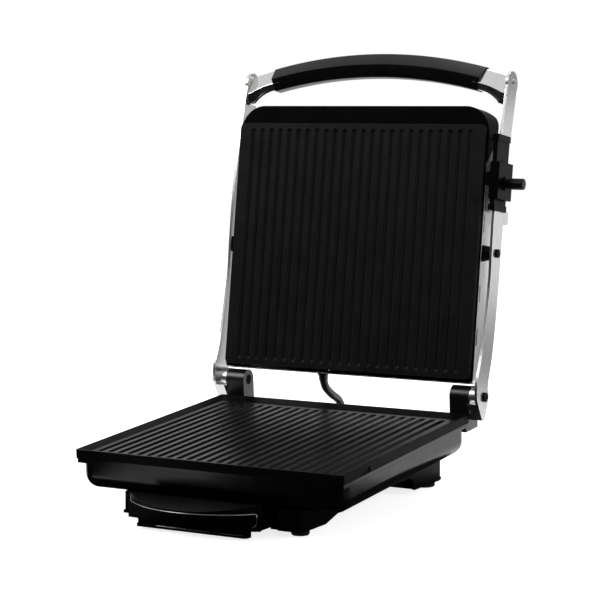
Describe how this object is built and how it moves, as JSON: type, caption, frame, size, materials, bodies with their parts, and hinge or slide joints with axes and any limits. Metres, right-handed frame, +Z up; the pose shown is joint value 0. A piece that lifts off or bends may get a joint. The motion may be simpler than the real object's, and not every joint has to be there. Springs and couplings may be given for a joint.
{
  "type": "panini press",
  "caption": "Open contact grill: sloping ribbed base plate on a stand with a drip tray, and a ribbed lid floating between two steel arms under a curved handle.",
  "frame": {"origin": "on the counter, under the middle of the object's box", "axes": "+Z up, front (drip tray) towards -Y, the height clip's knob towards +X"},
  "size_m": [0.3494, 0.4292, 0.4622],
  "materials": {
    "rim_paint": "satin black, slightly metallic",
    "shell_black": "satin black moulding",
    "grill_coating": "die-cast, black non-stick coating",
    "brushed_steel": "fine brushed",
    "cast_silver": "satin silver",
    "plain_sheet": "mill finish sheet",
    "grip_black": "soft satin black",
    "trim_black": "fine matt grain",
    "black_steel": "blackened",
    "screw_steel": "bright zinc",
    "element_steel": "dull heat-darkened sheath",
    "ceramic_white": "off-white",
    "rubber_black": "matt",
    "cable_rubber": "satin sleeve",
    "lamp_amber": "clear tinted lens"
  },
  "bodies": {
    "base": {"deck_rim": "rim_paint", "base_housing": "shell_black", "lower_grill_plate": "grill_coating", "lower_heating_element": "element_steel", "lower_heat_reflector": "plain_sheet", "lower_thermostat": "ceramic_white", "base_stand": "shell_black", "tray_runners": "trim_black", "bottom_panel": "trim_black", "rubber_feet": "rubber_black", "base_screws": "screw_steel", "terminal_block": "ceramic_white", "mains_gland_bush": "trim_black", "base_cable_gland": "trim_black", "left_hinge_post": "shell_black", "right_hinge_post": "shell_black", "hinge_pins": "black_steel", "link_cable": "cable_rubber"},
    "tray": {"drip_tray": "trim_black", "drip_tray_front": "shell_black"},
    "arms": {"left_arm": "brushed_steel", "right_arm": "brushed_steel", "pivot_screws": "black_steel", "handle_crossbar": "cast_silver", "grip_front": "grip_black", "grip_rear": "grip_black", "handle_screws": "screw_steel", "slider_rail": "trim_black"},
    "clip": {"clip_block": "trim_black"},
    "knob": {"clip_plunger": "screw_steel", "clip_knob": "grip_black", "clip_spring": "screw_steel"},
    "head": {"upper_grill_plate": "grill_coating", "head_frame": "cast_silver", "top_cover": "brushed_steel", "head_end_cap": "shell_black", "upper_heating_element": "element_steel", "upper_heat_reflector": "plain_sheet", "upper_thermostat": "ceramic_white", "left_pivot_boss": "trim_black", "right_pivot_boss": "trim_black", "pivot_collars": "cast_silver", "indicator_lamps": "lamp_amber", "head_screws": "screw_steel", "lid_cable_gland": "trim_black"}
  },
  "joints": [
    {"name": "arm_hinge", "type": "hinge", "parent": "base", "child": "arms", "pos_m": [-0.0125, 0.13324, 0.10218], "axis": [1, 0, 0], "range_deg": [0, 102]},
    {"name": "head_float", "type": "hinge", "parent": "arms", "child": "head", "pos_m": [-0.0125, 0.16227, 0.25059], "axis": [-1, 0, 0], "range_deg": [-18, 0]},
    {"name": "clip_slide", "type": "slide", "parent": "arms", "child": "clip", "axis": [0, 0.1392, 0.9903], "range_m": [0, 0.022]},
    {"name": "knob_pull", "type": "slide", "parent": "clip", "child": "knob", "axis": [1, 0, 0], "range_m": [0, 0.002], "stiffness_N_per_m": 1500, "springref_m": -0.001},
    {"name": "tray_slide", "type": "slide", "parent": "base", "child": "tray", "axis": [0, -1, 0], "range_m": [0, 0.11]}
  ]
}
